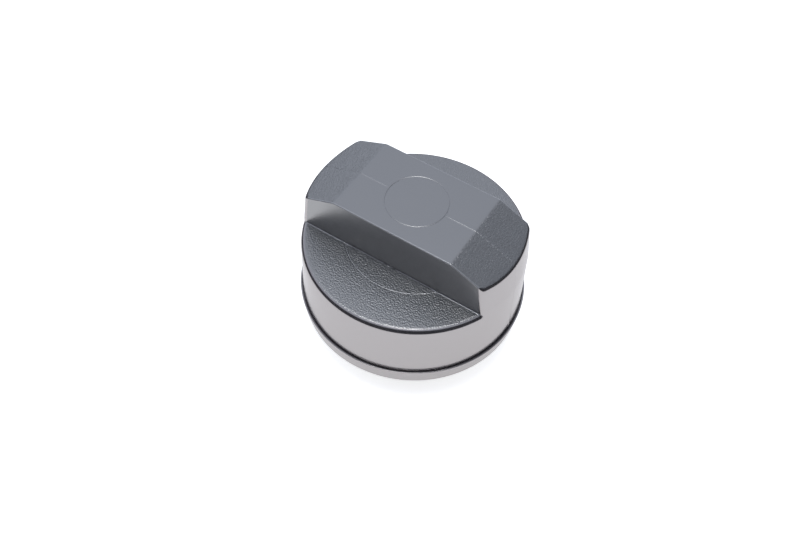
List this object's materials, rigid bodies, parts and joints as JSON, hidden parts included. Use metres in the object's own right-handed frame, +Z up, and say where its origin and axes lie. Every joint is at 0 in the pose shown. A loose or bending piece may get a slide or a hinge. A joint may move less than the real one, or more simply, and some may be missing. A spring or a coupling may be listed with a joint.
{
  "type": "bayonet fuel cap",
  "caption": "Keyless round fuel cap with a wide grip bar, a base ring, a bayonet plug with a sprung seal, and a pressure and vacuum valve in its nose.",
  "frame": {"origin": "middle of the nose's lower face, on the cap's axis, where the cap stands", "axes": "+Z up along the cap's axis from the nose to the grip bar, +X along the grip bar"},
  "size_m": [0.0726, 0.0726, 0.0546],
  "materials": {
    "cover_plastic": "moulded, fine matte top, leather grain on the lower faces, polished wall",
    "ring_plastic": "moulded, polished",
    "body_plastic": "moulded, satin",
    "natural_plastic": "moulded, natural",
    "seal_rubber": "moulded nitrile rubber",
    "spring_steel": "drawn stainless wire and strip",
    "screw_steel": "bright zinc plated"
  },
  "bodies": {
    "cap": {"grip_cover": "cover_plastic", "base_ring": "ring_plastic", "closure_body": "body_plastic", "main_spring": "spring_steel", "retaining_ring": "spring_steel", "valve_housing": "natural_plastic", "housing_o_ring": "seal_rubber", "pressure_spring": "spring_steel", "valve_cap": "natural_plastic", "splash_baffle": "natural_plastic", "cover_screw_1": "screw_steel", "cover_screw_2": "screw_steel", "cover_screw_3": "screw_steel", "cover_screw_4": "screw_steel"},
    "seal": {"seal_plate": "natural_plastic", "gasket": "seal_rubber"},
    "pressure_valve": {"pressure_plate": "natural_plastic", "pressure_seal": "seal_rubber", "vacuum_spring": "spring_steel"},
    "vacuum_valve_body": {"vacuum_valve": "natural_plastic", "vacuum_seal": "seal_rubber", "vacuum_retainer": "spring_steel"}
  },
  "joints": [
    {"name": "seal_slide", "type": "slide", "parent": "cap", "child": "seal", "axis": [0, 0, 1], "range_m": [0, 0.0025], "stiffness_N_per_m": 9000, "springref_m": -0.003, "deforming": ["main_spring"]},
    {"name": "pressure_valve_lift", "type": "slide", "parent": "cap", "child": "pressure_valve", "axis": [0, 0, 1], "range_m": [0, 0.002], "stiffness_N_per_m": 800, "springref_m": -0.004, "deforming": ["pressure_spring"]},
    {"name": "vacuum_valve_drop", "type": "slide", "parent": "pressure_valve", "child": "vacuum_valve_body", "axis": [0, 0, -1], "range_m": [0, 0.0015], "stiffness_N_per_m": 150, "springref_m": -0.001, "deforming": ["vacuum_spring"]}
  ]
}
